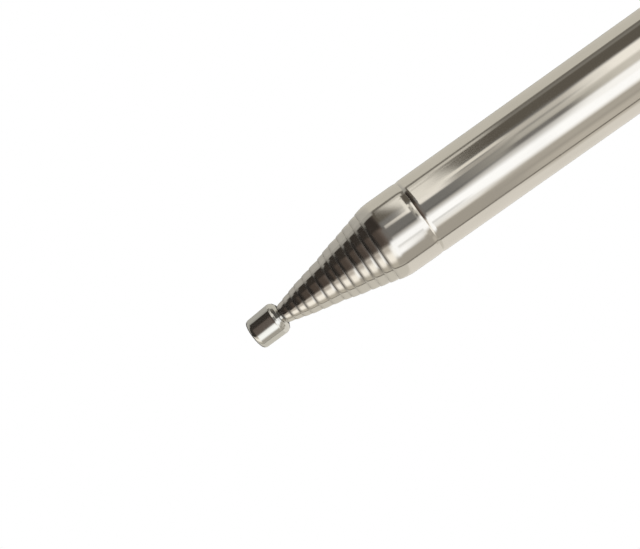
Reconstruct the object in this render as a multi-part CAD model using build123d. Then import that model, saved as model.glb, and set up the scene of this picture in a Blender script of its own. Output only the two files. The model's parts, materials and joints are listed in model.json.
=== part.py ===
from build123d import *
import os

# Telescopic antenna, collapsed and upright. Millimetres, +Z from the base to the tip.
# The origin is the seat face of the base plug, on the axis; the stud is below it.

# Sections, counted from the tip: 1 is the solid rod, then come the tubes, and the last is the outer tube.
TUBE_COUNT = 12
OUTER = TUBE_COUNT + 2
TUBES = range(OUTER - 1, 1, -1)
SECTIONS = range(OUTER - 1, 0, -1)

# Outer radii. The sections inside the outer tube grow by equal steps.
ROD_RADIUS = 1.8
OUTER_RADIUS = 8.0
OUTER_STEP = 0.64
SECTION_STEP = (OUTER_RADIUS - OUTER_STEP - ROD_RADIUS) / TUBE_COUNT
TUBE_WALL = 0.2
OUTER_WALL = 0.25

# Heights. Each nose stands out of the next tube by its own length, as it was pushed home.
OUTER_BOTTOM = 8.0
OUTER_LIP = 228.0
NOSE_2 = 1.57
NOSE_3 = 1.71
NOSE_4 = 1.60
NOSE_5 = 2.16
NOSE_6 = 2.13
NOSE_7 = 2.27
NOSE_8 = 1.49
NOSE_9 = 1.65
NOSE_10 = 2.17
NOSE_11 = 1.72
NOSE_12 = 1.91
NOSE_13 = 1.76
NOSE_LENGTHS = (NOSE_2, NOSE_3, NOSE_4, NOSE_5, NOSE_6, NOSE_7,
                NOSE_8, NOSE_9, NOSE_10, NOSE_11, NOSE_12, NOSE_13)

# Swaged nose of a tube
MOUTH_CLEARANCE = 0.05
LIP_EDGE = 0.02
NOSE_CONE = 0.5
NOSE_ROLL_START = 0.88
MOUTH_LAND = 0.8
MOUTH_TAPER_END = 2.6

# Nose of the outer tube and the rolled groove behind it
OUTER_NOSE_LENGTH = 2.7
OUTER_MOUTH_LAND = 1.2
OUTER_TAPER_END = 3.5
GROOVE_BELOW_LIP = 9.73
GROOVE_HALF_TIP = 1.8
GROOVE_HALF_BASE = 1.0
GROOVE_DEPTH = 0.12
GROOVE = OUTER_LIP - GROOVE_BELOW_LIP
GROOVE_TIP_EDGE = GROOVE + GROOVE_HALF_TIP
GROOVE_BASE_EDGE = GROOVE - GROOVE_HALF_BASE

# Necked bottom end of a section, where its contact spring sits
BEAD_HEIGHT = 0.5
BEAD_CLEARANCE = 0.1
NECK_TAPER = 0.3
NECK_LENGTH = 3.0
NECK_DEPTH = 0.18
SEAT_GAP = 0.1
STACK_STEP = BEAD_HEIGHT + 2 * NECK_TAPER + NECK_LENGTH + SEAT_GAP

# Split contact spring, rolled from sheet to a barrel shape
SPRING_END_GAP = 0.1
SPRING_LENGTH = NECK_LENGTH - 2 * SPRING_END_GAP
SPRING_SHEET = 0.12
SPRING_NECK_GAP = 0.03
SPRING_BORE_GAP = 0.05
SPRING_SLOT_DEG = 30.0
SLOT_TURN_DEG = 137.5

# Guide bushing in the outer tube
BUSHING_END_GAP = 0.2
BUSHING_BELOW_GROOVE = 2.3
BUSHING_TOP = OUTER_LIP - OUTER_TAPER_END - BUSHING_END_GAP
BUSHING_BOTTOM = GROOVE_BASE_EDGE - BUSHING_BELOW_GROOVE
BUSHING_GAP = 0.01

# Tip button and the spigot of the rod inside it
BUTTON_GAP = 0.15
BUTTON_BACK_LEDGE = 0.25
BUTTON_CHAMFER_RADIUS = 2.95
BUTTON_CHAMFER_HEIGHT = 0.42
BUTTON_RIM_RADIUS = 3.37
BUTTON_RIM_HEIGHT = 1.4
BUTTON_RIM_BULGE = 0.62
BUTTON_LINE_RADIUS = 3.3
BUTTON_LINE_HEIGHT = 1.48
BUTTON_BODY_RADIUS = 3.34
BUTTON_BODY_HEIGHT = 1.68
BUTTON_FRONT_RADIUS = 3.18
BUTTON_HEIGHT = 6.95
BUTTON_FRONT_ROUND = 0.95
ROUND_MIDDLE = 0.293
SPIGOT_RADIUS = 1.2
SPIGOT_LENGTH = 4.0
SPIGOT_GAP = 0.02

# Base plug and mounting stud
PLUG_BEVEL = 0.4
PLUG_SPIGOT_TOP = 18.0
PLUG_SPIGOT_GAP = 0.02
FLAT_DEPTH = 1.0
FLATS_BOTTOM = 1.5
FLATS_HEIGHT = 5.0
STUD_RADIUS = 5.0
STUD_SHANK_RADIUS = 4.0
STUD_BELOW = 12.0
STUD_ABOVE = 6.5
STUD_BEVEL = 0.8
STUD_GAP = 0.02


def radius(k):
    """Outer radius of section k."""
    return OUTER_RADIUS if k == OUTER else ROD_RADIUS + SECTION_STEP * (k - 1)


def bore(k):
    """Inner radius of section k."""
    return radius(k) - (OUTER_WALL if k == OUTER else TUBE_WALL)


def mouth(k):
    """Radius of the mouth of section k, which clears the section inside it."""
    return radius(k - 1) + MOUTH_CLEARANCE


def lip(k):
    """Height of the lip of section k."""
    return OUTER_LIP + sum(NOSE_LENGTHS[k - 2:])


def bottom(k):
    """Height of the bottom end of section k. Each one rests on the neck of the next."""
    return PLUG_SPIGOT_TOP + SEAT_GAP + STACK_STEP * (OUTER - 1 - k)


def edge_chain(points):
    """A closed outline from (radius, height) points. Four numbers are an arc: its middle, then its end."""
    edges, here = [], points[0]
    for point in points[1:] + points[:1]:
        end = point[-2:]
        if len(point) == 4:
            edges.append(ThreePointArc(here, point[:2], end))
        elif abs(end[0] - here[0]) + abs(end[1] - here[1]) > 1e-9:
            edges.append(Line(here, end))
        here = end
    return edges


def turned(points, degrees=360.0):
    """A solid turned about Z from its half outline."""
    with BuildPart() as part:
        with BuildSketch(Plane.XZ):
            with BuildLine():
                for edge in edge_chain(points):
                    add(edge)
            make_face()
        revolve(axis=Axis.Z, revolution_arc=degrees)
    return part.part


def nose_point(k, length, share):
    """Point at a share of a nose's length from its shoulder. The drop is part cone, part quarter ellipse."""
    drop = NOSE_CONE * share + (1 - NOSE_CONE) * (1 - (1 - share * share) ** 0.5)
    return (radius(k) - (radius(k) - mouth(k) - LIP_EDGE) * drop, lip(k) - length * (1 - share))


def nose(k, length):
    """Outside of a swaged nose: the lip, its rolled edge and the long cone down to the full radius."""
    rolled = nose_point(k, length, (1 + NOSE_ROLL_START) / 2) + nose_point(k, length, NOSE_ROLL_START)
    cone = nose_point(k, length, NOSE_ROLL_START / 2) + nose_point(k, length, 0.0)
    return [(mouth(k), lip(k)), nose_point(k, length, 1.0), rolled, cone]


def neck(k, outside):
    """Bottom end of section k, read from the top down: shoulder, neck and bead."""
    z, inset = bottom(k), 0.0 if outside else TUBE_WALL
    r, n, f = radius(k) - inset, radius(k) - NECK_DEPTH - inset, bore(k + 1) - BEAD_CLEARANCE - inset
    z1 = z + BEAD_HEIGHT
    z2, z3 = z1 + NECK_TAPER, z1 + NECK_TAPER + NECK_LENGTH
    return [(r, z3 + NECK_TAPER), (n, z3), (n, z2), (f, z1), (f, z)]


def tube(k):
    """A drawn tube: swaged nose above, necked end below."""
    z = lip(k)
    inside = [(mouth(k), z - MOUTH_LAND), (bore(k), z - MOUTH_TAPER_END)]
    inner = inside + neck(k, False)
    return turned(nose(k, NOSE_LENGTHS[k - 2]) + neck(k, True) + inner[::-1])


def groove(r, first, last):
    """A shallow rolled groove in a wall of radius r, from its first edge to its last, of two arcs."""
    bend = r - GROOVE_DEPTH / 4
    down = (bend, (first + GROOVE) / 2, r - GROOVE_DEPTH, GROOVE)
    return [(r, first), down, (bend, (GROOVE + last) / 2, r, last)]


def outer_tube():
    """The outermost section, with its rounded nose, rolled groove and plain cut bottom."""
    r, b = radius(OUTER), bore(OUTER)
    outside = nose(OUTER, OUTER_NOSE_LENGTH) + groove(r, GROOVE_TIP_EDGE, GROOVE_BASE_EDGE)
    outside += [(r, OUTER_BOTTOM)]
    inside = [(b, OUTER_BOTTOM)] + groove(b, GROOVE_BASE_EDGE, GROOVE_TIP_EDGE)
    inside += [(b, OUTER_LIP - OUTER_TAPER_END), (mouth(OUTER), OUTER_LIP - OUTER_MOUTH_LAND)]
    return turned(outside + inside)


def guide_bushing():
    """Sleeve in the mouth end of the outer tube, locked by the rolled groove."""
    top, low, r = BUSHING_TOP, BUSHING_BOTTOM, bore(OUTER) - BUSHING_GAP
    locking = groove(r, GROOVE_TIP_EDGE, GROOVE_BASE_EDGE)
    return turned([(mouth(OUTER), low), (mouth(OUTER), top), (r, top)] + locking + [(r, low)])


def inner_rod():
    """The solid innermost section, with a spigot for the button above."""
    shoulder = lip(2) + BUTTON_GAP
    top = [(0, bottom(1)), (0, shoulder + SPIGOT_LENGTH), (SPIGOT_RADIUS, shoulder + SPIGOT_LENGTH)]
    return turned(top + [(SPIGOT_RADIUS, shoulder), (ROD_RADIUS, shoulder)] + neck(1, True))


def tip_button():
    """Turned button: chamfered back, full rim, a fine turned line, slightly tapered body, rounded front."""
    z = lip(2) + BUTTON_GAP
    hole_radius, hole_top = SPIGOT_RADIUS + SPIGOT_GAP, z + SPIGOT_LENGTH
    hole = [(0, hole_top), (hole_radius, hole_top), (hole_radius, z)]
    back = [(ROD_RADIUS + BUTTON_BACK_LEDGE, z), (BUTTON_CHAMFER_RADIUS, z + BUTTON_CHAMFER_HEIGHT)]
    across, along = BUTTON_RIM_RADIUS - BUTTON_CHAMFER_RADIUS, BUTTON_RIM_HEIGHT - BUTTON_CHAMFER_HEIGHT
    rim_height = z + BUTTON_RIM_HEIGHT
    bulge = (BUTTON_CHAMFER_RADIUS + BUTTON_RIM_BULGE * across, rim_height - BUTTON_RIM_BULGE * along)
    rim = [bulge + (BUTTON_RIM_RADIUS, rim_height), (BUTTON_LINE_RADIUS, z + BUTTON_LINE_HEIGHT)]
    f, t, c = BUTTON_FRONT_RADIUS, z + BUTTON_HEIGHT, BUTTON_FRONT_ROUND
    front = [(f, t - c), (f - ROUND_MIDDLE * c, t - ROUND_MIDDLE * c, f - c, t), (0, t)]
    return turned(hole + back + rim + [(BUTTON_BODY_RADIUS, z + BUTTON_BODY_HEIGHT)] + front)


def contact_spring(k):
    """Barrel-shaped split ring on the neck of section k."""
    z = bottom(k) + BEAD_HEIGHT + NECK_TAPER + NECK_LENGTH / 2
    low, high = z - SPRING_LENGTH / 2, z + SPRING_LENGTH / 2
    a = radius(k) - NECK_DEPTH + SPRING_NECK_GAP
    b = bore(k + 1) - SPRING_BORE_GAP
    outside = [(a, low), (a + SPRING_SHEET, low), (b, z, a + SPRING_SHEET, high)]
    inside = [(a, high), (b - SPRING_SHEET, z, a, low)]
    ring = turned(outside + inside, 360 - SPRING_SLOT_DEG)
    return ring.rotate(Axis.Z, SLOT_TURN_DEG * k)


def base_plug():
    """Closes the outer tube: flange with two wrench flats, spigot above, hole for the stud's shank below."""
    hole, spigot = STUD_SHANK_RADIUS + STUD_GAP, bore(OUTER) - PLUG_SPIGOT_GAP
    flange = [(OUTER_RADIUS - PLUG_BEVEL, 0), (OUTER_RADIUS, PLUG_BEVEL), (OUTER_RADIUS, OUTER_BOTTOM)]
    inner = [(spigot, OUTER_BOTTOM), (spigot, PLUG_SPIGOT_TOP), (0, PLUG_SPIGOT_TOP)]
    plug = turned([(0, STUD_ABOVE), (hole, STUD_ABOVE), (hole, 0)] + flange + inner)
    cut = Box(OUTER_RADIUS, 2 * OUTER_RADIUS, FLATS_HEIGHT, align=(Align.MIN, Align.CENTER, Align.MIN))
    cut = cut.moved(Location((OUTER_RADIUS - FLAT_DEPTH, 0, FLATS_BOTTOM)))
    return plug - cut - cut.rotate(Axis.Z, 180)


def mounting_stud():
    """M10 stud, its thread as a plain cylinder, with a shank that is pressed into the plug."""
    r, s, c = STUD_RADIUS, STUD_SHANK_RADIUS, STUD_BEVEL
    thread = [(0, -STUD_BELOW), (r - c, -STUD_BELOW), (r, c - STUD_BELOW), (r, 0)]
    return turned(thread + [(s, 0), (s, STUD_ABOVE), (0, STUD_ABOVE)])


def pieces():
    """Every piece by its node name."""
    found = {"base_plug": base_plug(), "mounting_stud": mounting_stud(), "outer_tube": outer_tube(),
             "guide_bushing": guide_bushing(), "inner_rod": inner_rod(), "tip_button": tip_button()}
    for k in TUBES:
        found[f"tube_{k:02d}"] = tube(k)
    for k in SECTIONS:
        found[f"contact_spring_{k:02d}"] = contact_spring(k)
    return found


def slide_ranges():
    """Travel of each section, from resting on the neck below it to its spring meeting the mouth above it."""
    ranges = {}
    for k in SECTIONS:
        spring_top = bottom(k) + BEAD_HEIGHT + NECK_TAPER + NECK_LENGTH
        stop = BUSHING_BOTTOM if k + 1 == OUTER else lip(k + 1) - MOUTH_TAPER_END
        ranges[k] = round(stop - spring_top - 2 * SEAT_GAP, 1)
    return ranges


os.makedirs("parts", exist_ok=True)
for node, solid in pieces().items():
    export_step(solid, f"parts/{node}.step")
    print(node, "volume", round(solid.volume, 2), "mm3")
print("slides in mm:", slide_ranges())
print("lips in mm:", {k: round(lip(k), 2) for k in range(OUTER, 1, -1)})
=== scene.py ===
# %% [markdown]
# # A telescopic antenna, dressed over its CAD frame
# The antenna is a nest of thin plated tubes, pushed home, with a turned button on the innermost rod and a threaded
# stud at the base. The CAD model is the fixed frame: it gives the sizes, the bodies that slide, and the box that
# nothing may leave. What the eye needs on top of it is a smoother skin and a believable bright plating.
# Everything is in metres, +Z runs from the base to the tip, and the origin is the seat of the base plug.

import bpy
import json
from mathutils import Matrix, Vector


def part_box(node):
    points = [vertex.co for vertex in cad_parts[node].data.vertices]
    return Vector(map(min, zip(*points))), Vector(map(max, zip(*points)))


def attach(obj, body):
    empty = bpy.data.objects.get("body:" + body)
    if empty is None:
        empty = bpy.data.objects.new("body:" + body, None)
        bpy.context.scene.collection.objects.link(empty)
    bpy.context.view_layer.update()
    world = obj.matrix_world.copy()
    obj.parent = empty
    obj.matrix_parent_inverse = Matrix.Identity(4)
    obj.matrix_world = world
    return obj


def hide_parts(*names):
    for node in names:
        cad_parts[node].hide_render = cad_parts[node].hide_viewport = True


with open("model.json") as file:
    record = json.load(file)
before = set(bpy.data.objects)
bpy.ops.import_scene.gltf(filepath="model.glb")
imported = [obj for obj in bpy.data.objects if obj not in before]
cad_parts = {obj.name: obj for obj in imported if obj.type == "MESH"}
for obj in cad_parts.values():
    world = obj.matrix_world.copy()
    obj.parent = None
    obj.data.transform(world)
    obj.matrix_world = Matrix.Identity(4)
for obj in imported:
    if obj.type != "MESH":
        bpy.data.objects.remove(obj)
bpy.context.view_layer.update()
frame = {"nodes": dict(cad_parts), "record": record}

import json
import math

import bpy
import numpy as np
from mathutils import Matrix

MM = 0.001

# %% [markdown]
# ## The sizes that the skins share
# A drawn tube is known by its radius, its wall and where its lip and its bottom end are. The sections are counted from
# the tip: 1 is the rod, 2 to 13 the tubes that slide, 14 the outer tube. The radii grow by one equal step, so one short
# function each is enough. The numbers are the CAD model's own, in millimetres, and the first print checks them against
# the boxes of its nodes.

# %% Radii and heights of the sections
OUTER = 14
TUBES = range(OUTER - 1, 1, -1)
ROD_RADIUS, OUTER_RADIUS, OUTER_STEP = 1.8, 8.0, 0.64
STEP = (OUTER_RADIUS - OUTER_STEP - ROD_RADIUS) / len(TUBES)
WALL, OUTER_WALL = 0.2, 0.25
OUTER_LIP, OUTER_BOTTOM = 228.0, 8.0
NOSES = (1.57, 1.71, 1.60, 2.16, 2.13, 2.27, 1.49, 1.65, 2.17, 1.72, 1.91, 1.76)   # tube 2 to tube 13
MOUTH_GAP = 0.05
LOWEST_BOTTOM, STACK_STEP = 18.1, 4.2


def radius(k):
    """Outer radius of section k."""
    return OUTER_RADIUS if k == OUTER else ROD_RADIUS + STEP * (k - 1)


def bore(k):
    """Inner radius of section k."""
    return radius(k) - (OUTER_WALL if k == OUTER else WALL)


def lip(k):
    """Height of the lip of section k."""
    return OUTER_LIP + sum(NOSES[k - 2:])


def bottom(k):
    """Height of the bottom end of section k; each rests on the neck of the next."""
    return LOWEST_BOTTOM + STACK_STEP * (OUTER - 1 - k)


for k in (13, 7, 2):
    low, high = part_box(f"tube_{k:02d}")
    print(f"tube {k}: lip off by {lip(k) - high.z / MM:.4f} mm, bottom off by {bottom(k) - low.z / MM:.4f} mm")

# %% [markdown]
# ## Turned skins
# Every piece of an antenna is turned or drawn, so its surface is one half outline carried round the axis. The CAD
# mesh is exact to a few hundredths of a millimetre, but on a mirror finish its long facets would show as streaks. So
# each visible piece gets a skin worked out afresh: first an outline with small rounded corners, because real plated
# edges always catch a thin line of light, and then one ring of points for each point of the outline.

# %% Round the corners of an outline
CORNER_T = np.array([0.0, 0.15, 0.35, 0.5, 0.65, 0.85, 1.0])
CORNER_SHARE, SPARE_SHARE, SPARE_LIMIT = 0.45, 0.3, 0.04


def rounded(outline):
    """Rounds a closed half outline of (radius, height, rounding) points.

    A corner P becomes (1-t)^2 A + 2t(1-t) P + t^2 B, with A and B on its two edges at the rounding's length from P, or
    at CORNER_SHARE of the shorter edge where that is less. One more point outside A and one outside B keep the
    shading of the straight runs straight. A rounding of 0 leaves the point as it is.
    """
    outline = np.array(outline, float)
    corner, wanted = outline[:, :2], outline[:, 2]
    back, on = np.roll(corner, 1, 0) - corner, np.roll(corner, -1, 0) - corner
    back_length, on_length = np.linalg.norm(back, axis=1), np.linalg.norm(on, axis=1)
    cut = np.minimum(wanted, CORNER_SHARE * np.minimum(back_length, on_length))[:, None]
    back, on = back / back_length[:, None], on / on_length[:, None]
    a, b = corner + cut * back, corner + cut * on
    t = CORNER_T[None, :, None]
    curve = (1 - t) ** 2 * a[:, None] + 2 * t * (1 - t) * corner[:, None] + t ** 2 * b[:, None]
    spare = np.minimum(SPARE_SHARE * cut, SPARE_LIMIT)
    points = np.concatenate([(a + spare * back)[:, None], curve, (b + spare * on)[:, None]], 1).reshape(-1, 2)
    keep = np.linalg.norm(points - np.roll(points, 1, 0), axis=1) > 1e-6
    return points[keep]


demo = rounded([(1, 0, 0.1), (1, 1, 0.1), (0, 1, 0), (0, 0, 0)])
print("a square outline with two rounded corners has", len(demo), "points")

# %% Carry an outline round the axis
TURNS = 144


def carried_round(points, turns=TURNS):
    """Grid of points: outline point i at angle a_j is (r_i cos a_j, r_i sin a_j, z_i)."""
    angle = np.arange(turns) * (2 * np.pi / turns)
    r, z = points[:, :1], points[:, 1:]
    return np.stack([r * np.cos(angle), r * np.sin(angle), np.broadcast_to(z, (len(points), turns))], -1)


def skin(name, grid):
    """Mesh from a grid of millimetre points that closes both ways; grid[i, j] is outline point i at turn j.

    Each face joins neighbours i, i+1 and j, j+1. The shoelace sum of the outline at turn 0 tells which way round it
    runs, and the grid is flipped where the faces would look inwards. A ring of radius 0 is one point, the pole.
    """
    r, z = np.hypot(grid[:, 0, 0], grid[:, 0, 1]), grid[:, 0, 2]
    if np.sum(r * np.roll(z, -1) - np.roll(r, -1) * z) > 0:
        grid = grid[::-1]
    rings, turns = grid.shape[:2]
    index = np.arange(rings * turns).reshape(rings, turns)
    pole = np.hypot(grid[..., 0], grid[..., 1]).max(1) < 1e-6
    index[pole] = index[pole, :1]
    below, beside = np.roll(index, -1, 0), np.roll(index, -1, 1)
    quads = np.stack([index, below, np.roll(below, -1, 1), beside], -1).reshape(-1, 4)
    on_axis = (pole & np.roll(pole, -1)).repeat(turns)
    used, quads = np.unique(quads[~on_axis], return_inverse=True)
    quads = quads.reshape(-1, 4)
    keep = quads != np.roll(quads, -1, 1)
    corners = keep.sum(1)
    mesh = bpy.data.meshes.new(name)
    mesh.vertices.add(len(used))
    mesh.vertices.foreach_set("co", (grid.reshape(-1, 3)[used] * MM).ravel())
    mesh.loops.add(int(corners.sum()))
    mesh.loops.foreach_set("vertex_index", quads[keep].astype(np.int32))
    mesh.polygons.add(len(corners))
    mesh.polygons.foreach_set("loop_start", (np.cumsum(corners) - corners).astype(np.int32))
    mesh.polygons.foreach_set("use_smooth", np.ones(len(corners), bool))
    mesh.update(calc_edges=True)
    mesh.validate()
    piece = bpy.data.objects.new(name, mesh)
    bpy.context.scene.collection.objects.link(piece)
    return piece


# %% [markdown]
# ## The swaged nose
# The mouth of each tube is swaged in until it just clears the next section. From outside that is a small nose: a long
# shallow cone that bends out of the tube at its shoulder, and an edge that rolls over at the lip. Pushed home, the
# cones follow on each other almost in one line, and only the rolled edges part them, each with a thin dark ring. The
# noses are all the photograph shows of the inner tubes, so their curve is one formula, half cone and half quarter
# round, with points crowded at both ends.

# %% Outline of a nose
LIP_EDGE, CONE_SHARE, SHOULDER_BEND = 0.02, 0.5, 0.12
NOSE_POINTS, RUN_UP = 26, 0.1


def nose(k, length, bend=SHOULDER_BEND):
    """Outside of the nose of section k, from its mouth down.

    With x from 0 at the shoulder to 1 at the lip, the radius is R - H (C s + (1 - C) q). R is the tube's own radius,
    H the whole drop and C the cone's share. s = (sqrt(x^2 + B^2) - B) / (sqrt(1 + B^2) - B) is the cone, a straight
    line with a bend B at its shoulder. q = 1 - sqrt(1 - x^2) is the quarter round of the lip.
    """
    mouth, top, full = radius(k - 1) + MOUTH_GAP, lip(k), radius(k)
    x = (1 + np.cos(np.linspace(0, np.pi, NOSE_POINTS))) / 2
    cone = (np.sqrt(x ** 2 + bend ** 2) - bend) / (math.hypot(1, bend) - bend)
    drop = CONE_SHARE * cone + (1 - CONE_SHARE) * (1 - np.sqrt(1 - x ** 2))
    curve = np.stack([full - (full - mouth - LIP_EDGE) * drop, top - length * (1 - x), 0 * x], 1)
    return [(mouth, top, LIP_EDGE / 2), *map(tuple, curve), (full, top - length - RUN_UP, 0.0)]


print("the longest nose is", max(NOSES), "mm and the shortest", min(NOSES), "mm")

# %% [markdown]
# ## The sliding tubes
# Below its nose a tube is straight for almost its whole length, then it is necked for the contact spring and flared to
# a bead at the end. Those forms hide inside the next tube in every pose, so they only need to be right, not rich. One
# function gives the outline of all twelve.

# %% Outline of a sliding tube
BEAD, BEAD_GAP = 0.5, 0.1
NECK_LOW, NECK_HIGH, SHOULDER, NECK_DEPTH = 0.8, 3.8, 4.1, 0.18   # heights over the bottom end, then the step in
MOUTH_LAND, MOUTH_TAPER = 0.8, 2.6


def neck(k, inset=0.0):
    """Bottom end of section k from the top down: shoulder, neck, flare and bead, moved inwards by inset."""
    z, r = bottom(k), radius(k) - inset
    flare = bore(k + 1) - BEAD_GAP - inset
    return [(r, z + SHOULDER, 0.1), (r - NECK_DEPTH, z + NECK_HIGH, 0.1), (r - NECK_DEPTH, z + NECK_LOW, 0.1),
            (flare, z + BEAD, 0.05), (flare, z, 0.03)]


def tube_outline(k):
    """Closed half outline of tube k: nose and outside down, inside up."""
    mouth, top = radius(k - 1) + MOUTH_GAP, lip(k)
    inside = [(mouth, top - MOUTH_LAND, 0.1), (bore(k), top - MOUTH_TAPER, 0.3)] + neck(k, WALL)
    return nose(k, NOSES[k - 2]) + neck(k) + inside[::-1]


print("the outline of tube 7 has", len(rounded(tube_outline(7))), "points")

# %% [markdown]
# ## Painted shade at the lips
# In the photograph a soft dark line runs round every step, darkest on the side that is turned to the camera. It is
# painted here as shade: the shade in the gap at each lip and its dark reflection, painted darkest on the side that
# faces the camera. It is worked out from the place of each point and kept on the mesh as an attribute, which the finish
# reads later.

# %% Paint the shade at the lips onto a piece, and make the tubes
# Reaches, darkest side and share all round of the painted shade at the lips
LIP_SHADE_BELOW, LIP_SHADE_ABOVE, LIP_SHADE_SHORT = 0.55, 0.35, 0.1
LIP_SHADE_SIDE, LIP_SHADE_FROM, LIP_SHADE_SOFT, LIP_SHADE_REST = math.radians(-4), 0.72, 0.16, 0.2


def paint_lip_shade(piece, spots):
    """Attribute lip_shade on a piece, the painted shade at its lips, from (height, reach below, reach above) spots.

    It is 1 at a spot's height and falls evenly to 0 at both reaches. That is multiplied by a + (1 - a) w, with a the
    share all round, LIP_SHADE_REST. w is 1 on the side where the painted shade is darkest and falls to 0 with the
    cosine of the angle to that side, which LIP_SHADE_SIDE turns from the front (-Y), the side turned to the camera.
    """
    points = np.empty(3 * len(piece.data.vertices))
    piece.data.vertices.foreach_get("co", points)
    x, y, z = points.reshape(-1, 3).T / MM
    facing = -(y * math.cos(LIP_SHADE_SIDE) + x * math.sin(LIP_SHADE_SIDE)) / np.maximum(np.hypot(x, y), 0.01)
    front, lip_shade = np.clip((facing - LIP_SHADE_FROM) / LIP_SHADE_SOFT, 0, 1), 0.0
    for height, below, above in spots:
        lip_shade = np.maximum(lip_shade, np.clip(1 + np.minimum((z - height) / below, (height - z) / above), 0, 1))
    shade = lip_shade * (LIP_SHADE_REST + (1 - LIP_SHADE_REST) * front)
    piece.data.attributes.new("lip_shade", "FLOAT", "POINT").data.foreach_set("value", shade)


chromed = {}
for k in TUBES:
    piece = chromed[f"tube_{k:02d}"] = skin(f"plated_tube_{k:02d}", carried_round(rounded(tube_outline(k))))
    paint_lip_shade(piece, [(lip(k), LIP_SHADE_BELOW, LIP_SHADE_SHORT), (lip(k + 1), LIP_SHADE_SHORT, LIP_SHADE_ABOVE)])
print("tube 7 has", len(chromed["tube_07"].data.polygons), "faces")

# %% [markdown]
# ## The outer tube
# The outer tube is the only one with its full length in view. Its nose is longer than the others and bends more softly,
# and a shallow groove rolled round it locks the guide bushing inside. The wall bends into the groove gently from the
# tip side and more steeply from the base side, which is why the groove reads as a pale band with one crisp dark line
# beside it.

# %% Make the outer tube
GROOVE, GROOVE_TIP, GROOVE_BASE, GROOVE_DEPTH = OUTER_LIP - 9.73, 1.8, 1.0, 0.12
OUTER_NOSE, OUTER_BEND, OUTER_LAND, OUTER_TAPER = 3.2, 0.4, 1.2, 3.5
OUTER_TURNS = 192


def groove(r):
    """Groove in a wall of radius r, from the tip side down.

    With D its depth and x from 0 at the wall to 1 at the bottom of the groove, the radius is r - D x^3 on the long
    shoulder towards the tip and r - D x^2 on the short one towards the base.
    """
    x = np.linspace(0, 1, 9)
    tip_side = np.stack([r - GROOVE_DEPTH * x ** 3, GROOVE + GROOVE_TIP * (1 - x), 0 * x], 1)
    base_side = np.stack([r - GROOVE_DEPTH * x[::-1] ** 2, GROOVE - GROOVE_BASE * (1 - x[::-1]), 0 * x], 1)
    return [(r, GROOVE + GROOVE_TIP + RUN_UP, 0.0), *map(tuple, tip_side[:-1]), (r - GROOVE_DEPTH, GROOVE, 0.05),
            *map(tuple, base_side[1:]), (r, GROOVE - GROOVE_BASE - RUN_UP, 0.0)]


outer = nose(OUTER, OUTER_NOSE, OUTER_BEND) + groove(OUTER_RADIUS)
outer += [(OUTER_RADIUS, OUTER_BOTTOM, 0.08), (bore(OUTER), OUTER_BOTTOM, 0.05)] + groove(bore(OUTER))[::-1]
outer += [(bore(OUTER), OUTER_LIP - OUTER_TAPER, 0.3), (radius(OUTER - 1) + MOUTH_GAP, OUTER_LIP - OUTER_LAND, 0.1)]
chromed["outer_tube"] = skin("plated_outer_tube", carried_round(rounded(outer), OUTER_TURNS))
paint_lip_shade(chromed["outer_tube"], [(OUTER_LIP, LIP_SHADE_BELOW, LIP_SHADE_SHORT)])
print("the outer tube has", len(chromed["outer_tube"].data.polygons), "faces")

# %% [markdown]
# ## The rod and its button
# The rod ends in a button that stops it from slipping into the nest and gives the fingers a hold. It is turned from
# bar: a flat seat, a sloped back that rounds into the widest rim, and a body that tapers a little to a rounded front.
# In the photograph the middle of the button's outline shifts by about one pixel from its rim to its front, which is
# read here as a lean of 2.6 degrees. What caused it doesn't show. It is made by a turn of the grid about the seat.

# %% Make the rod and the button
SEAT, BUTTON_HEIGHT, LEAN = lip(2) + 0.15, 6.83, math.radians(2.6)
SPIGOT_RADIUS, SPIGOT_LENGTH, SPIGOT_GAP = 1.2, 4.0, 0.02
rod = [(0, SEAT + SPIGOT_LENGTH, 0), (SPIGOT_RADIUS, SEAT + SPIGOT_LENGTH, 0.1), (SPIGOT_RADIUS, SEAT, 0)]
rod += [(ROD_RADIUS, SEAT, 0.05)] + neck(1) + [(0, bottom(1), 0)]
socket = SPIGOT_RADIUS + SPIGOT_GAP
button = [(0, SPIGOT_LENGTH, 0), (socket, SPIGOT_LENGTH, 0), (socket, 0, 0), (2.25, 0, 0.05), (2.95, 0.42, 0.08),
          (3.28, 0.98, 0.10), (3.35, 1.46, 0.05), (3.33, 1.72, 0.10), (3.18, BUTTON_HEIGHT, 0.95),
          (0, BUTTON_HEIGHT, 0)]
button = [(r, SEAT + z, soft) for r, z, soft in button]


def leaning(grid, angle, height):
    """The grid turned by an angle about the line along Y at height h.

    x becomes x cos - (z - h) sin, and z becomes h + x sin + (z - h) cos.
    """
    x, y, z = grid[..., 0], grid[..., 1], grid[..., 2] - height
    cos, sin = math.cos(angle), math.sin(angle)
    return np.stack([x * cos - z * sin, y, height + x * sin + z * cos], -1)


chromed["inner_rod"] = skin("plated_rod", carried_round(rounded(rod)))
chromed["tip_button"] = skin("turned_button", leaning(carried_round(rounded(button)), LEAN, SEAT))
paint_lip_shade(chromed["inner_rod"], [(lip(2), LIP_SHADE_SHORT, LIP_SHADE_ABOVE)])
print("button from", round(SEAT, 2), "to", round(SEAT + BUTTON_HEIGHT, 2), "mm")

# %% [markdown]
# ## The base plug
# The plug closes the outer tube and carries the stud. Two flats for a wrench are milled into its flange, so it isn't
# fully round: where a flat is, the radius is cut to the flat's distance over |cos a|. The grid keeps a column of points
# on each edge of a flat, and a Bevel modifier breaks the edges as a file would.

# %% Make the base plug
FLAT_X, FLAT_LOW, FLAT_HIGH = 7.0, 1.5, 6.5
STUD_TOP, PLUG_TOP = 6.5, 18.0
PLUG_BORE, PLUG_BEVEL, PLUG_SPIGOT = 4.02, 0.4, 7.68


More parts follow.
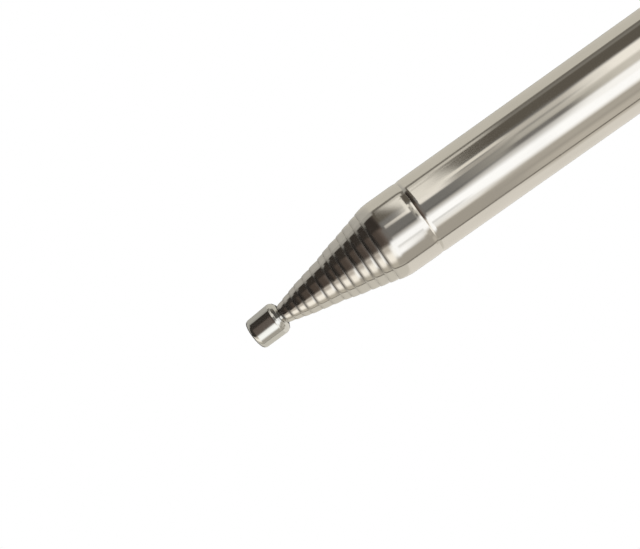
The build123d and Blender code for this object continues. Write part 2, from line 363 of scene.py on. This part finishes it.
def flat_angles(count=24):
    """Turn angles with a column on each edge of a flat, which is at acos(X / R) to either side of +X and -X, with X
    the flat's distance from the axis and R the flange's radius."""
    edge = math.acos(FLAT_X / OUTER_RADIUS)
    on_flat, on_round = np.linspace(-edge, edge, count), np.linspace(edge, np.pi - edge, 2 * count)[1:-1]
    half = np.concatenate([on_flat, on_round])
    return np.concatenate([half, half + np.pi])


rows = np.array([   # radius, height, and 1 where the flats cut
    (0, STUD_TOP, 0), (PLUG_BORE, STUD_TOP, 0), (PLUG_BORE, 0, 0), (OUTER_RADIUS - PLUG_BEVEL, 0, 0),
    (OUTER_RADIUS, PLUG_BEVEL, 0), (OUTER_RADIUS, FLAT_LOW, 0), (OUTER_RADIUS, FLAT_LOW, 1),
    (OUTER_RADIUS, FLAT_HIGH, 1), (OUTER_RADIUS, FLAT_HIGH, 0), (OUTER_RADIUS, OUTER_BOTTOM, 0),
    (PLUG_SPIGOT, OUTER_BOTTOM, 0), (PLUG_SPIGOT, PLUG_TOP, 0), (0, PLUG_TOP, 0)])
angle = flat_angles()
limit = np.where(rows[:, 2:] > 0, FLAT_X / np.maximum(np.abs(np.cos(angle)), 0.1), np.inf)
r, z = np.minimum(rows[:, :1], limit), np.repeat(rows[:, 1:2], len(angle), 1)
plug_grid = np.stack([r * np.cos(angle), r * np.sin(angle), z], -1)
chromed["base_plug"] = skin("turned_plug", plug_grid)
edge_break = chromed["base_plug"].modifiers.new("edge_break", "BEVEL")
edge_break.width, edge_break.segments, edge_break.limit_method = 0.15 * MM, 3, "ANGLE"
edge_break.angle_limit, edge_break.harden_normals = math.radians(20), True
print("the plug's grid has", plug_grid.shape[0], "rows and", plug_grid.shape[1], "columns")

# %% [markdown]
# ## The threaded stud
# CAD keeps the stud as a plain cylinder, because a thread is only needed by the eye. The real M10 thread climbs 1.5 mm
# a turn, with flanks at 60 degrees. As a surface of two parameters it is simple: the radius depends on the height and
# the angle together, through the part of a turn that is left when the climb is taken away. The thread fades in below
# the seat, and the tip is turned to a cone that cuts the last turns away.

# %% Make the stud with its thread
PITCH, THREAD_DEPTH, STUD_RADIUS, STUD_TIP = 1.5, 0.81, 4.98, -12.0
ROOT, CREST_FLAT, ROOT_FLAT, EASE = STUD_RADIUS - THREAD_DEPTH, 1 / 8, 1 / 4, 0.06
THREAD_TOP, FADE_IN, TIP_SLOPE, TIP_STEP = -1.4, 0.5, 1.1, 0.02
STUD_ROWS, STUD_TURNS = 260, 96


def thread_radius(z, a):
    """Radius of the thread at height z and angle a.

    s is the fraction of z / pitch - a / (2 pi). The ridge h is a triangle wave of s, from 0 in the root to 1 on the
    crest, cut to leave a flat crest of an eighth and a flat root of a quarter of the pitch. h - 0.06 sin(2 pi h) eases
    the corners, and the radius is the crest's less the depth times 1 - h.
    """
    s = np.mod(z / PITCH - a / (2 * np.pi), 1.0)
    ridge = np.clip((1 - np.abs(2 * s - 1) - ROOT_FLAT) / (1 - ROOT_FLAT - CREST_FLAT), 0, 1)
    ridge = ridge - EASE * np.sin(2 * np.pi * ridge)
    return STUD_RADIUS - THREAD_DEPTH * (1 - ridge)


def all_round(column):
    """A column of one number a row, repeated for every turn of the stud."""
    return np.repeat(column, STUD_TURNS, 1)


z = np.linspace(THREAD_TOP, STUD_TIP, STUD_ROWS)[:, None]
a = (np.arange(STUD_TURNS) * (2 * np.pi / STUD_TURNS))[None, :]
fade = np.clip((THREAD_TOP - z) / FADE_IN, 0, 1)
body = ROOT * (1 - fade) + thread_radius(z, a) * fade
body = np.minimum(body, ROOT + (z - STUD_TIP) * TIP_SLOPE - TIP_STEP)
above = np.array([(0, STUD_TOP), (3.9, STUD_TOP), (4.0, STUD_TOP - 0.1), (4.0, 0.1), (4.02, 0.0), (4.1, -0.05),
                  (ROOT, -0.15), (ROOT, THREAD_TOP + 0.05)])
below = np.array([(3.9, STUD_TIP), (3.6, STUD_TIP), (0, STUD_TIP)])
r = np.concatenate([all_round(above[:, :1]), body, all_round(below[:, :1])])
z = all_round(np.concatenate([above[:, 1:], z, below[:, 1:]]))
chromed["mounting_stud"] = skin("threaded_stud", np.stack([r * np.cos(a), r * np.sin(a), z], -1))
print("the stud has", len(chromed["mounting_stud"].data.polygons), "faces")

# %% [markdown]
# ## Writing materials as expressions
# A node tree is easier to read as arithmetic. `Wire` stands for one socket, and its operators add the Math nodes that
# the expression needs, so `0.06 + 0.05 * smudge` is two nodes. `Tree.node` adds any other node: first its settings,
# then the values or wires of its sockets. It gives back a `Made` node, and `made["Normal"]` is the wire of that output.

# %% The wire and the tree
class Wire:
    """The value that leaves a socket, for use in expressions."""

    def __init__(self, tree, socket):
        self.tree, self.socket = tree, socket

    def __add__(self, other): return self.tree.math("ADD", self, other)
    def __sub__(self, other): return self.tree.math("SUBTRACT", self, other)
    def __rsub__(self, other): return self.tree.math("SUBTRACT", other, self)
    def __mul__(self, other): return self.tree.math("MULTIPLY", self, other)
    def __neg__(self): return self.tree.math("MULTIPLY", self, -1.0)
    __radd__, __rmul__ = __add__, __mul__


class Made:
    """A node that was added; made[key] is the wire of its output by name or number."""

    def __init__(self, tree, node):
        self.tree, self.outputs = tree, node.outputs

    def __getitem__(self, key):
        return Wire(self.tree, self.outputs[key])


class Tree:
    """A node tree, cleared and then built by expressions."""

    def __init__(self, tree):
        self.tree = tree
        tree.nodes.clear()

    def node(self, kind, settings=None, inputs=None):
        """Adds a node of that kind. Its settings come first; then each socket, by name or number, gets its value or
        its wire."""
        node = self.tree.nodes.new("ShaderNode" + kind)
        for name, value in (settings or {}).items():
            setattr(node, name, value)
        for key, value in (inputs or {}).items():
            if isinstance(value, Wire):
                self.tree.links.new(value.socket, node.inputs[key])
            else:
                node.inputs[key].default_value = value
        return Made(self, node)

    def math(self, operation, *terms):
        """One Math node on values or wires."""
        return self.node("Math", {"operation": operation}, dict(enumerate(terms)))["Value"]


print("wires, made nodes and trees are ready")

# %% [markdown]
# ## Helpers that the finishes and the studio share
# A smooth step from 0 to 1 is the edge of almost everything here: of a smudge, of a patch of floor, of a lamp's
# reflection. Two steps make a band. A colour mix blends two colours by a factor. Greys are written as they look on a
# screen from 0 to 255 and turned into light by the screen's own curve.

# %% Steps, bands, mixes and greys
def step(x, start, end):
    """0 before start, 1 after end, and a smooth S between."""
    return x.tree.node("MapRange", {"interpolation_type": "SMOOTHSTEP"},
                       {"Value": x, "From Min": start, "From Max": end, "To Min": 0.0, "To Max": 1.0})["Result"]


def band(x, start, end, soft):
    """1 between start and end, 0 outside, with edges that are soft wide."""
    return step(x, start - soft / 2, start + soft / 2) * (1 - step(x, end - soft / 2, end + soft / 2))


def blend(tree, factor, first, second):
    """Colour mix: first where the factor is 0, second where it is 1. Sockets 0, 6 and 7 and output 2 are the colour
    ones of the Mix node; a colour that isn't a wire gets its alpha."""
    first, second = (c if isinstance(c, Wire) else (*c, 1.0) for c in (first, second))
    return tree.node("Mix", {"data_type": "RGBA"}, {0: factor, 6: first, 7: second})[2]


def light(grey):
    """Light of a screen grey from 0 to 255: ((g + 0.055) / 1.055) ^ 2.4 with g as a fraction."""
    return ((grey / 255 + 0.055) / 1.055) ** 2.4


print("a screen grey of 188 is", round(light(188), 3), "of white")

# %% [markdown]
# ## Bright plating
# Chrome has almost no colour of its own: it is a slightly warm mirror. What makes it look real is what disturbs the
# mirror. Drawing leaves very fine lines along the tube, polishing leaves it a little softer in patches, and hands leave
# smudges that cloud the reflection. So the base colour hardly varies, the roughness carries the smudges, and a Bump
# node carries the drawing lines and a slow unevenness of the wall, which makes long reflections waver. Where the mesh
# carries the painted shade of the lips, the colour goes down to a dark brown painted shade and the mirror dulls.

# %% The plating as a function
# Colour, cover and dulling of the painted shade at the lips
LIP_SHADE_COLOUR, LIP_SHADE_COVER, LIP_SHADE_DULL = (0.05, 0.04, 0.033), 0.9, 0.25
SMUDGED, LINE_TONE, BUMP_HEIGHT = 0.93, 0.04, 0.001


def plated(name, tint, rough, smudge, lines, waver, turned=0.0):
    """Plated metal. Noise stretched along Z gives drawing lines, noise stretched round the axis gives turning rings,
    and large soft noise gives the smudges and the waver of the wall. Rough is the clean surface's roughness, smudge
    what a smudge adds to it, and lines, waver and turned are the heights of the bumps as shares of a millimetre."""
    material = bpy.data.materials.new(name)
    material.use_nodes = True
    tree = Tree(material.node_tree)
    place = tree.node("TexCoord")["Object"]

    def noise(scale, stretch, detail=3.0):
        spread = tree.node("Mapping", {}, {"Vector": place, "Scale": stretch})["Vector"]
        return tree.node("TexNoise", {}, {"Vector": spread, "Scale": scale, "Detail": detail})["Fac"]

    cloud = step(noise(160.0, (1, 1, 0.5)), 0.42, 0.68)
    fine = noise(5200.0, (1, 1, 0.012), 2.0)
    rings = noise(9000.0, (0.004, 0.004, 1), 2.0)
    wall = noise(90.0, (1, 1, 0.25), 1.0)
    # Painted shade at the lips: this attribute darkens the colour to a dark brown and dulls the mirror
    lip_shade = tree.node("Attribute", {"attribute_name": "lip_shade"})["Fac"]
    colour = blend(tree, cloud * 0.5 + fine * 0.3, tint, tuple(SMUDGED * c for c in tint))
    colour = blend(tree, LIP_SHADE_COVER * lip_shade, colour, LIP_SHADE_COLOUR)
    roughness = rough + smudge * cloud + LINE_TONE * (fine - 0.5) + LIP_SHADE_DULL * lip_shade
    height = lines * fine + waver * wall + turned * rings
    bump = tree.node("Bump", {}, {"Strength": 1.0, "Distance": BUMP_HEIGHT, "Height": height})["Normal"]
    shader = tree.node("BsdfPrincipled", {}, {"Base Color": colour, "Metallic": 1.0, "Roughness": roughness,
                                              "Normal": bump})["BSDF"]
    tree.node("OutputMaterial", {}, {"Surface": shader})
    return material


CHROME = (0.812, 0.797, 0.765)
finishes = {
    "outer_tube": plated("bright_plating_outer", CHROME, 0.07, 0.05, 0.0006, 0.035),
    "tubes": plated("bright_plating_tubes", CHROME, 0.08, 0.04, 0.0005, 0.002),
    "rod": plated("bright_plating_rod", CHROME, 0.08, 0.04, 0.0005, 0.001),
    "button": plated("bright_plating_button", (0.79, 0.797, 0.775), 0.10, 0.05, 0.0, 0.002, 0.0006),
    "plug": plated("nickel_plug", (0.76, 0.72, 0.65), 0.16, 0.06, 0.0, 0.001, 0.0010),
    "stud": plated("steel_stud", (0.62, 0.61, 0.59), 0.26, 0.08, 0.0, 0.001, 0.0014),
    "bushing": plated("turned_brass", (0.80, 0.60, 0.30), 0.24, 0.08, 0.0, 0.001, 0.0012),
    "springs": plated("phosphor_bronze", (0.72, 0.45, 0.27), 0.20, 0.08, 0.0004, 0.002),
}
print("finishes:", sorted(finishes))

# %% [markdown]
# ## Every piece gets its slot, its body and its finish
# The record names a material slot for each node. A skin takes the slot and the body of the node that it replaces. The
# bushing and the springs are hidden inside, so their CAD meshes stay, with the finish put into their own slots.

# %% Dress the frame
slot_of = {row["node"]: row["material_slot"] for row in frame["record"]["subparts"]}
body_of_node = {node: body for body, group in frame["record"]["behaviour"]["bodies"].items() for node in group}
for node, piece in chromed.items():
    piece.data.materials.append(finishes[slot_of[node]])
    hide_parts(node)
    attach(piece, body_of_node[node])
for node, cad in frame["nodes"].items():
    if node not in chromed:
        cad.data.materials.clear()
        cad.data.materials.append(finishes[slot_of[node]])
print(len(chromed), "skins;", len(frame["nodes"]) - len(chromed), "CAD nodes shown as they are")

# %% [markdown]
# ## The studio that the metal mirrors
# A mirror shows its room, so the room is the look of this antenna. The photograph's reflections were read as a paper
# sweep behind, a tall window to one side, a dimmer wall next to it, and the unlit side of the room, which is darkest
# towards the tip. The names are guesses, and places and greys were set until the render's bands matched the
# photograph's. Each is a soft-edged panel, given by where a ray goes: its turn about the antenna's axis from
# the front (-Y), positive towards -X, and its lean towards the tip. A slant makes the lean's edges run askew. Later
# panels cover earlier ones. Only glossy rays see them. The camera and clear things see plain white, and the floor is
# lit by a plain soft sky, so the panels light nothing else.

# %% Panels of the studio
# Each row: name; turn from, to and soft edge; lean from, to and soft edge (all in degrees); slant in degrees of lean a
# degree of turn; grey on the screen; per cent more red; per cent less blue.
panels = [
    ("paper on the far side", -184, -99, 6, -90, 90, 1, 0, 181, 6, 13),
    ("paper, tip side", -184, -99, 6, 4, 90, 10, 0, 162, 5, 10),
    ("dim wall", 50, 91, 8, -90, 90, 1, 0, 151, 9, 14),
    ("dim wall, tip side", 86, 184, 8, 3, 90, 4, 0, 186, 6, 12),
    ("dim wall, lower down", 42, 60, 10, -90, -10, 6, 0, 160, 9, 14),
    ("dim wall, lit far down", 69, 100, 14, -90, -12, 5, 0, 172, 9, 14),
    ("front wall", -98, 10, 6, -90, 90, 1, 0, 108, 4, 6),
    ("front wall, lit low", -27, -4, 12, -60, -9, 6, 0, 142, 6, 12),
    ("front wall, lit patch", -29, -16, 7, -20, -12.5, 2, 0, 172, 6, 12),
    ("front wall, brighter far down", -34, 12, 14, -27, -18, 6, 0, 190, 6, 12),
    ("shadow side", -96, -52, 14, -90, 8, 3, 0, 82, 14, 20),
    ("lamp strip, narrow", -36, -28, 5, -9, -1.2, 0.8, 0, 200, 6, 10),
    ("lamp strip, wide", -48, -27, 8, -7.5, -3.4, 0.9, 0, 226, 5, 9),
    ("lamp strip, lower", -49, -40.5, 5, -12, -7.2, 1.0, 0, 210, 6, 12),
    ("lamp strip, dim", -38, -27, 6, -13, -7.2, 1.0, 0, 153, 7, 12),
    ("lamp strip, dimmer", -47, -33, 8, -19, -11.5, 2.0, 0, 176, 7, 12),
    ("lamp strip, far down", -50, -24, 10, -30, -18, 4.0, 0, 230, 5, 9),
    ("bright patch", -91, -40, 6, -7.3, -2.95, 0.9, 0.032, 220, 5, 10),
    ("crease in the patch", -78, -74, 4, -8, -4.3, 1.0, 0, 182, 6, 12),
    ("rim of the paper", -93, -84, 4, -12, -2.8, 2.0, 0, 190, 6, 12),
    ("rim of the paper, lower", -93, -84, 5, -40, -11, 3.0, 0, 112, 8, 14),
    ("window reveal", -5, 5, 6, -11, 0, 2.0, 0, 94, 4, 6),
    ("dark thing in the room", -14, -3, 6, -17, -12, 2.0, 0, 100, 6, 6),
    ("window frame", 1, 16, 8, -90, 1, 1, 0, 170, 5, 8),
    ("unlit room", -93, 16, 6, 6, 90, 9, 0, 63, 30, 20),
    ("unlit room, near the front", -38, 10, 10, 7, 15, 8, 0, 84, 28, 16),
    ("unlit corner", -92, -41, 11, 7, 90, 8, 0, 44, 22, 18),
    ("front wall, past the tip", -32, 12, 8, -1, 10, 7, 0, 104, 8, 8),
    ("end of the paper, tip side", -101, -87, 6, 3, 90, 5, 0, 150, 5, 10),
    ("dim wall, tip side, near the window", 50, 90, 8, 13, 90, 4, 0, 168, 9, 16),
    ("dark floor by the base", -75, 2, 12, -90, -31, 5, 0, 76, 8, 10),
    ("window, far down left", -2, 16, 12, -90, -9, 5, 0, 192, 3, 5),
    ("window", 9.5, 39, 16, -90, 1, 2, 0, 253, 0, 0),
    ("window, below the sill", -2, 16, 10, -90, -17, 5, 0, 246, 1, 2),
    ("window pane, lower", 36, 46, 9, -9, -3, 1.2, 0, 226, 2, 4),
    ("window pane", 37, 54, 12, -3.1, 1, 1.0, 0, 255, 0, 0),
    ("window post", 29, 35, 5, -7.5, -0.5, 1.5, 0, 212, 1, 3),
    ("window, tip side, dim edge", 13, 40, 18, 14, 90, 4, 0, 168, 11, 13),
    ("window, tip side", 34, 66, 20, 14, 90, 4, 0, 236, 6, 10),
    ("window, just past the tip", 18, 55.5, 22, 4, 15, 4, 0, 250, 1, 3),
    ("window, by the tip", 9.5, 55, 14, 0.5, 10, 4, 0, 252, 0, 0),
    ("line beside the wall", 87.8, 92, 2.5, -90, 60, 1, 0, 100, 12, 16),
    ("line beside the paper", -100, -95.5, 2.5, -60, 1, 1, 0, 104, 10, 16),
    ("dark wall behind", 168, 181, 6, -90, 90, 1, 0, 60, 10, 10),
    ("dark wall behind, other side", -181, -168, 6, -90, 90, 1, 0, 60, 10, 10),
    ("dark beyond the tip", -86, 14, 10, 27, 120, 8, 0, 42, 20, 16),
    ("paper beyond the tip", -101, -76, 7, 24, 120, 8, 0, 150, 5, 10),
    ("dark beyond the back", -96, 60, 12, -120, -55, 12, 0, 100, 4, 6),
    ("dark above, behind", 140, 184, 14, 22, 120, 12, 0, 44, 14, 14),
    ("dark above, behind, other side", -184, -140, 14, 22, 120, 12, 0, 44, 14, 14),
]
METAL, SKY, DEGREES = 0.80, 0.82, 180 / math.pi
BARE_ROOM = (203, 6, 10)       # where no panel covers it


def panel_colour(grey, red, blue):
    """Light of a panel, divided by the metal's own share so that its mirror image renders at the grey as written, with
    red per cent more red and blue per cent less blue."""
    tone = light(grey) / METAL
    return tone * (1 + red / 100), tone, tone * (1 - blue / 100)


world = bpy.data.worlds.new("studio")
bpy.context.scene.world = world
world.use_nodes = True
tree = Tree(world.node_tree)
ray = tree.node("SeparateXYZ", {}, {"Vector": tree.node("TexCoord")["Generated"]})
turn = tree.math("ARCTAN2", -ray["X"], -ray["Y"]) * DEGREES
lean = tree.math("ARCSINE", ray["Z"]) * DEGREES
studio = panel_colour(*BARE_ROOM)
for name, turn_from, turn_to, turn_soft, lean_from, lean_to, lean_soft, slant, *colour in panels:
    level = lean + slant * (turn - (turn_from + turn_to) / 2) if slant else lean
    place = band(turn, turn_from, turn_to, turn_soft) * band(level, lean_from, lean_to, lean_soft)
    studio = blend(tree, place, studio, panel_colour(*colour))
path = tree.node("LightPath")
sky = blend(tree, path["Is Glossy Ray"], (SKY, SKY, SKY), studio)
clear = tree.math("MAXIMUM", path["Is Camera Ray"], path["Is Transmission Ray"])
background = tree.node("Background", {}, {"Color": blend(tree, clear, sky, (1, 1, 1)), "Strength": 1.0})
tree.node("OutputWorld", {}, {"Surface": background["Background"]})
print(len(panels), "panels in the studio")

# %% [markdown]
# ## Floor and light
# The antenna stands on its stud on a plain pale disc. The floor near it keeps the contact shadow. Farther out it turns
# into plain white for the camera, so no edge shows, and mirrors soon look through it into the studio, because a white
# disc would wash out the tube's lower end. One broad soft lamp from above gives the shadow a direction. Mirrors don't
# see it, since the studio's window already stands for it.

# %% Make the floor
FLOOR_Z, FLOOR_RADIUS, FLOOR_THICKNESS = STUD_TIP, 340.0, 1.0
WHITE_FROM, WHITE_TO = 0.12, 0.33       # metres from the stud, for the camera
OPEN_FROM, OPEN_TO = 0.012, 0.05        # metres from the stud, for mirrors


def floor_grid(rings=24, turns=96):
    """Flat disc: ring i has radius R (i / n)^1.5, so the rings are closer near the middle; a thin underside closes
    it."""
    r = FLOOR_RADIUS * (np.arange(rings + 1) / rings) ** 1.5
    top, low = np.stack([r, np.full(rings + 1, FLOOR_Z)], 1), FLOOR_Z - FLOOR_THICKNESS
    return carried_round(np.concatenate([top, [(FLOOR_RADIUS, low), (0, low)]]), turns)


floor = skin("pale_floor", floor_grid())
floor.data.materials.append(bpy.data.materials.new("pale_floor"))
floor.data.materials[0].use_nodes = True
tree = Tree(floor.data.materials[0].node_tree)
spot = tree.node("TexCoord")["Object"]
away = tree.node("VectorMath", {"operation": "LENGTH"}, {"Vector": spot})["Value"]
grain = tree.node("TexNoise", {}, {"Vector": spot, "Scale": 40.0, "Detail": 4.0})["Fac"]
paper = blend(tree, grain, (0.80, 0.80, 0.79), (0.84, 0.84, 0.835))
matte = tree.node("BsdfPrincipled", {}, {"Base Color": paper, "Roughness": 0.9, "Specular IOR Level": 0.2})["BSDF"]
white = tree.node("Emission", {}, {"Color": (1, 1, 1, 1), "Strength": 1.0})["Emission"]
path = tree.node("LightPath")
whitened = step(away, WHITE_FROM, WHITE_TO) * path["Is Camera Ray"]
surface = tree.node("MixShader", {}, {0: whitened, 1: matte, 2: white})["Shader"]
open_air = tree.node("BsdfTransparent")["BSDF"]
opened = step(away, OPEN_FROM, OPEN_TO) * path["Is Glossy Ray"]
surface = tree.node("MixShader", {}, {0: opened, 1: surface, 2: open_air})["Shader"]
tree.node("OutputMaterial", {}, {"Surface": surface})
print("floor radius", FLOOR_RADIUS, "mm")

# %% Hang the lamp
LAMP_SIZE, LAMP_WATTS, LAMP_PLACE = 0.5, 6.0, (-0.35, -0.45, 0.9)      # metres
LAMP_TILT, LAMP_TURN = math.radians(32), math.radians(-38)
lamp = bpy.data.lights.new("soft_lamp", "AREA")
lamp.shape, lamp.size, lamp.energy = "DISK", LAMP_SIZE, LAMP_WATTS
lamp_object = bpy.data.objects.new("soft_lamp", lamp)
bpy.context.scene.collection.objects.link(lamp_object)
lamp_object.location = LAMP_PLACE
lamp_object.rotation_euler = (LAMP_TILT, 0, LAMP_TURN)
lamp_object.visible_glossy = False
print("lamp of", lamp.energy, "W,", lamp.size / MM, "mm across")

# %% [markdown]
# ## The camera
# The photograph looks across the antenna's tip end from close by, with the base end running out at the upper right. So
# the camera stands level with the tubes' noses, 153 mm away on the -Y side, rolled until the axis runs the same way.
# The base end leans 4 degrees towards it, which is what makes the near rims bulge towards the tip. A 45 mm lens on a
# 36 mm sensor gives the photograph's perspective. The three rows below are the camera's own right, up and back.

# %% Set the camera
ROLL, TILT, REACH, SENSOR = math.radians(35.41), 0.070, 153.4, 36.0
AIM = np.array([0.0, 0.0, 239.94])           # the point of the axis that the view is set by
AIM_PIXEL, IMAGE, FOCAL = (326.0, 283.4), (640, 549), 800.0      # in pixels of the photograph's frame
sin_roll, cos_roll, sin_tilt, cos_tilt = math.sin(ROLL), math.cos(ROLL), math.sin(TILT), math.cos(TILT)
right, up, back = np.array([(-sin_roll, sin_tilt * cos_roll, -cos_tilt * cos_roll),
                            (cos_roll, sin_tilt * sin_roll, -cos_tilt * sin_roll),
                            (0.0, -cos_tilt, -sin_tilt)])
shift_x = (AIM_PIXEL[0] - IMAGE[0] / 2) / FOCAL * REACH
shift_y = -(AIM_PIXEL[1] - IMAGE[1] / 2) / FOCAL * REACH
eye = AIM - shift_x * right - shift_y * up + REACH * back

camera = bpy.data.cameras.new("camera")
camera.sensor_width, camera.lens = SENSOR, SENSOR * FOCAL / IMAGE[0]
camera.clip_start, camera.clip_end = 0.005, 20.0
camera_object = bpy.data.objects.new("camera", camera)
bpy.context.scene.collection.objects.link(camera_object)
pose = np.eye(4)
pose[:3, :3], pose[:3, 3] = np.stack([right, up, back], 1), eye * MM
camera_object.matrix_world = Matrix(pose.tolist())
bpy.context.scene.camera = camera_object
print("camera at", np.round(eye, 1), "mm, lens", camera.lens, "mm")

# %% [markdown]
# ## Finish
# The view transform is Standard, so a colour renders as it is written.

# %% Finish
bpy.context.scene.view_settings.view_transform = "Standard"
